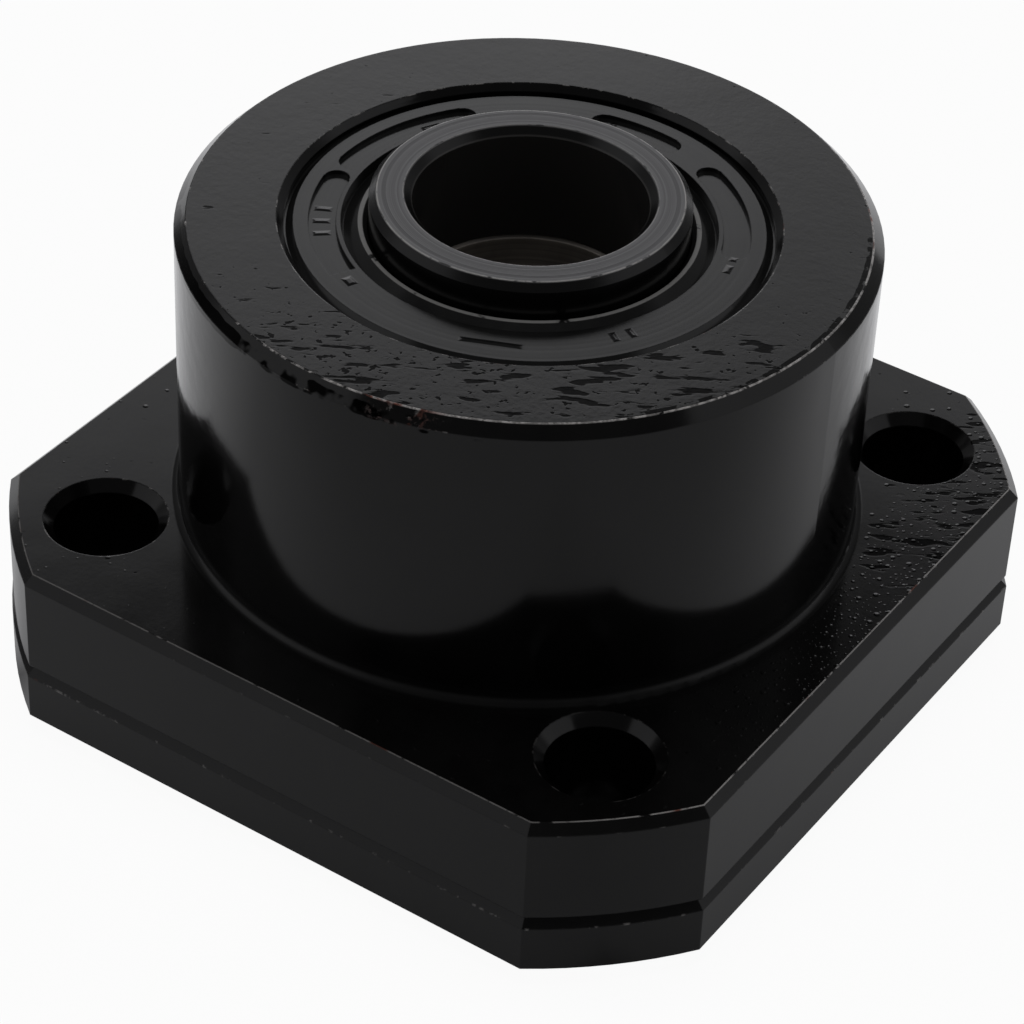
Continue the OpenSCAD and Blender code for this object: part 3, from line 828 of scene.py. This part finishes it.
class FinishSettings(bpy.types.PropertyGroup):
    """Colours and edge sizes of the object's finishes."""

    oxide_color: bpy.props.FloatVectorProperty(
        name="Oxide colour", description="Colour of the black oxide",
        default=(0.0026, 0.0025, 0.0025), **COLOR)
    oxide_roughness: bpy.props.FloatProperty(
        name="Oxide roughness", description="Roughness of the black oxide",
        default=0.12, min=0.02, max=1)
    # also the colour of the painted highlight along the housing's edges
    worn_color: bpy.props.FloatVectorProperty(
        name="Worn colour", description="Colour of steel where the oxide has worn off",
        default=(0.50, 0.48, 0.47), **COLOR)
    collar_color: bpy.props.FloatVectorProperty(
        name="Collar colour", description="Colour of a collar's turned face",
        default=(0.190, 0.189, 0.192), **COLOR)
    rubber_color: bpy.props.FloatVectorProperty(
        name="Rubber colour", description="Colour of the seals",
        default=(0.006, 0.006, 0.006), **COLOR)
    rubber_roughness: bpy.props.FloatProperty(
        name="Rubber roughness", description="Roughness of the seals",
        default=0.17, min=0.05, max=1)
    lip_radius: bpy.props.FloatProperty(
        name="Dust lip radius", description="Radius of the worn line on a seal's dust lip",
        default=0.0086, min=0, max=0.1, **LENGTH)
    ring_color: bpy.props.FloatVectorProperty(
        name="Ring colour", description="Colour of the bearing rings",
        default=(0.34, 0.31, 0.28), **COLOR)
    resin_color: bpy.props.FloatVectorProperty(
        name="Cage colour", description="Colour of the cages",
        default=(0.62, 0.55, 0.38), **COLOR)
    edge_round: bpy.props.FloatProperty(
        name="Edge rounding", description="Radius that breaks the sharp edges",
        default=0.00010, min=0, max=0.001, **LENGTH)
    flange_top: bpy.props.FloatProperty(
        name="Flange top", description="Height of the flange's upper face",
        default=0.0103, min=0, max=0.1, **LENGTH)
    flange_chamfer: bpy.props.FloatProperty(
        name="Flange chamfer", description="Chamfer along the flange's upper edge",
        default=0.0005, min=0, max=0.01, **LENGTH)
    flange_corner: bpy.props.FloatProperty(
        name="Flange corner radius", description="Turned radius of the flange's corners",
        default=0.027, min=0, max=0.1, **LENGTH)
    boss_radius: bpy.props.FloatProperty(
        name="Boss radius", description="Radius of the boss",
        default=0.018, min=0, max=0.1, **LENGTH)
    boss_chamfer: bpy.props.FloatProperty(
        name="Boss chamfer", description="Chamfer round the boss face",
        default=0.0006, min=0, max=0.01, **LENGTH)
    seal_mouth: bpy.props.FloatProperty(
        name="Seal recess chamfer", description="Chamfer at the mouth of the seal recess",
        default=0.00034, min=0, max=0.01, **LENGTH)
    hole_mouth: bpy.props.FloatProperty(
        name="Hole mouth radius", description="Radius of the chamfered mouths of the mounting holes",
        default=0.0033, min=0, max=0.01, **LENGTH)
    lid_chamfer: bpy.props.FloatProperty(
        name="Lid chamfer", description="Chamfer along the lid's upper edge",
        default=0.0007, min=0, max=0.01, **LENGTH)
    lid_corner: bpy.props.FloatProperty(
        name="Lid corner radius", description="Turned radius of the lid's corners",
        default=0.02712, min=0, max=0.1, **LENGTH)


class StageSettings(bpy.types.PropertyGroup):
    """Floor, light and camera."""

    floor_half: bpy.props.FloatProperty(
        name="Floor size", description="Half the width of the floor",
        default=1.5, min=0.1, max=20, **LENGTH)
    floor_drop: bpy.props.FloatProperty(
        name="Floor drop", description="How far the floor lies below the object",
        default=0.0001, min=0, max=0.01, **LENGTH)
    floor_whiteness: bpy.props.FloatProperty(
        name="Floor whiteness", description="How white the camera sees the floor",
        default=0.95, min=0, max=1)
    # the floor brightnesses that gloss sees are a painted glow: painted light in front of, behind and
    # beside the object
    floor_front: bpy.props.FloatProperty(
        name="Floor in front", description="Brightness that gloss sees in front of the object",
        default=0.23, **BRIGHTNESS)
    floor_back: bpy.props.FloatProperty(
        name="Floor behind", description="Brightness that gloss sees behind the object",
        default=0.95, **BRIGHTNESS)
    floor_side: bpy.props.FloatProperty(
        name="Floor beside", description="Brightness that gloss sees more of beside the object",
        default=0.02, **BRIGHTNESS)
    backdrop: bpy.props.FloatProperty(
        name="Backdrop", description="Brightness of the backdrop behind the object",
        default=0.92, **BRIGHTNESS)
    backdrop_top: bpy.props.FloatProperty(
        name="Backdrop height", description="Angle above the floor up to which the backdrop reaches",
        default=math.radians(38.3), **ANGLE)
    gaps: bpy.props.FloatProperty(
        name="Gaps", description="Brightness of the room on both sides of the backdrop",
        default=0.12, **BRIGHTNESS)
    behind: bpy.props.FloatProperty(
        name="Behind the camera", description="Brightness of the room on the camera's side",
        default=0.08, **BRIGHTNESS)
    zenith: bpy.props.FloatProperty(
        name="Overhead glow", description="Brightness straight above the object",
        default=0.07, **BRIGHTNESS)
    walls: bpy.props.FloatProperty(
        name="Walls", description="Brightness of the room beside and before the object",
        default=0.34, **BRIGHTNESS)
    ceiling: bpy.props.FloatProperty(
        name="Ceiling", description="Brightness of the room above the backdrop",
        default=0.05, **BRIGHTNESS)
    top_light: bpy.props.FloatProperty(
        name="Top light", description="Power of the soft light overhead",
        default=1.6, min=0, max=100, unit="POWER")
    azimuth: bpy.props.FloatProperty(
        name="Camera azimuth", description="Angle of the camera round the object",
        default=math.radians(32.737), **ANGLE)
    elevation: bpy.props.FloatProperty(
        name="Camera elevation", description="Angle of the camera above the floor",
        default=math.radians(38.317), **ANGLE)
    roll: bpy.props.FloatProperty(
        name="Camera roll", description="Turn of the camera about its own axis",
        default=math.radians(2.730), **ANGLE)
    distance: bpy.props.FloatProperty(
        name="Camera distance", description="Distance from the camera to its aim point",
        default=0.1972, min=0.05, max=10, **LENGTH)
    aim: bpy.props.FloatVectorProperty(
        name="Aim point", description="Point that the camera looks at",
        default=(-0.00106, 0.00126, 0.00691), subtype="XYZ", unit="LENGTH")
    lens: bpy.props.FloatProperty(
        name="Focal length", description="Focal length on a 36 mm sensor",
        default=127.37, min=10, max=500, unit="CAMERA")


# ---------- operators ----------


class ENDSUPPORT_OT_housing(bpy.types.Operator):
    """Finishes the housing and the lid in black oxide"""

    bl_idname = "endsupport.housing"
    bl_label = "Finish housing and lid"

    def execute(self, context):
        p = context.scene.endsupport_finish
        dress("housing", oxide_material("oxide_housing", p))
        dress("lid", oxide_material("oxide_lid", p, lid=True))
        return {"FINISHED"}


class ENDSUPPORT_OT_screws(bpy.types.Operator):
    """Finishes the lid screws"""

    bl_idname = "endsupport.screws"
    bl_label = "Finish lid screws"

    def execute(self, context):
        steel = steel_material("screw_steel", SCREW_STEEL, roughness=0.30, pitch=0.2, metallic=0.8)
        dress("lid_screws", steel)
        return {"FINISHED"}


class ENDSUPPORT_OT_collars(bpy.types.Operator):
    """Finishes the front and rear collars"""

    bl_idname = "endsupport.collars"
    bl_label = "Finish collars"

    def execute(self, context):
        turned = collar_material(context.scene.endsupport_finish)
        for node in ("front_collar", "rear_collar"):
            dress(node, turned)
        return {"FINISHED"}


class ENDSUPPORT_OT_seals(bpy.types.Operator):
    """Finishes the oil seals and their steel cases"""

    bl_idname = "endsupport.seals"
    bl_label = "Finish seals"

    def execute(self, context):
        rubber = rubber_material(context.scene.endsupport_finish)
        case = steel_material("case_steel", CASE_STEEL, roughness=0.35, pitch=0.3)
        for node in ("front_seal", "rear_seal"):
            dress(node, rubber)
            dress(node + "_case", case)
        return {"FINISHED"}


class ENDSUPPORT_OT_bearings(bpy.types.Operator):
    """Finishes the rings, cages and balls of both bearings"""

    bl_idname = "endsupport.bearings"
    bl_label = "Finish bearings"

    def execute(self, context):
        p = context.scene.endsupport_finish
        ring = steel_material("ring_steel", p.ring_color, roughness=0.40, pitch=0.14, metallic=0.6)
        ball = steel_material("ball_steel", BALL_STEEL, roughness=0.08, pitch=0.9)
        resin = resin_material(p)
        for end in ("front", "rear"):
            dress(end + "_outer_ring", ring)
            dress(end + "_inner_ring", ring)
            dress(end + "_cage", resin)
            dress(end + "_balls", ball)
        return {"FINISHED"}


class ENDSUPPORT_OT_stage(bpy.types.Operator):
    """Makes the floor, the light, the surroundings and the camera"""

    bl_idname = "endsupport.stage"
    bl_label = "Make stage"

    def execute(self, context):
        p = context.scene.endsupport_stage
        context.scene.view_settings.view_transform = "Standard"
        floor = grid_mesh("studio_floor", *floor_surface(p.floor_half, p.floor_drop, count=9))
        floor.data.materials.append(floor_material(p))
        studio_world(p)
        studio_lamp(p)
        studio_camera(p)
        return {"FINISHED"}


class ENDSUPPORT_PT_panel(bpy.types.Panel):
    """Lists the finishing steps of the end support."""

    bl_label = "End support"
    bl_idname = "ENDSUPPORT_PT_panel"
    bl_space_type = "VIEW_3D"
    bl_region_type = "UI"
    bl_category = "End support"

    def draw(self, context):
        for step in STEPS:
            self.layout.operator(step.bl_idname)
        for settings in (context.scene.endsupport_finish, context.scene.endsupport_stage):
            box = self.layout.box()
            for key in settings.__annotations__:
                box.prop(settings, key)


STEPS = (
    ENDSUPPORT_OT_housing,
    ENDSUPPORT_OT_screws,
    ENDSUPPORT_OT_collars,
    ENDSUPPORT_OT_seals,
    ENDSUPPORT_OT_bearings,
    ENDSUPPORT_OT_stage,
)
CLASSES = (FinishSettings, StageSettings, *STEPS, ENDSUPPORT_PT_panel)


def register():
    for cls in CLASSES:
        bpy.utils.register_class(cls)
    bpy.types.Scene.endsupport_finish = bpy.props.PointerProperty(type=FinishSettings)
    bpy.types.Scene.endsupport_stage = bpy.props.PointerProperty(type=StageSettings)


def unregister():
    del bpy.types.Scene.endsupport_stage
    del bpy.types.Scene.endsupport_finish
    for cls in reversed(CLASSES):
        bpy.utils.unregister_class(cls)


def main():
    """Registers the add-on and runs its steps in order."""
    register()
    for effect in SHARED_EFFECTS:
        effect()
    for step in STEPS:
        space, name = step.bl_idname.split(".")
        if getattr(getattr(bpy.ops, space), name)() != {"FINISHED"}:
            raise RuntimeError(step.bl_label + " did not finish")
    bpy.context.view_layer.update()


if __name__ == "__main__":
    main()
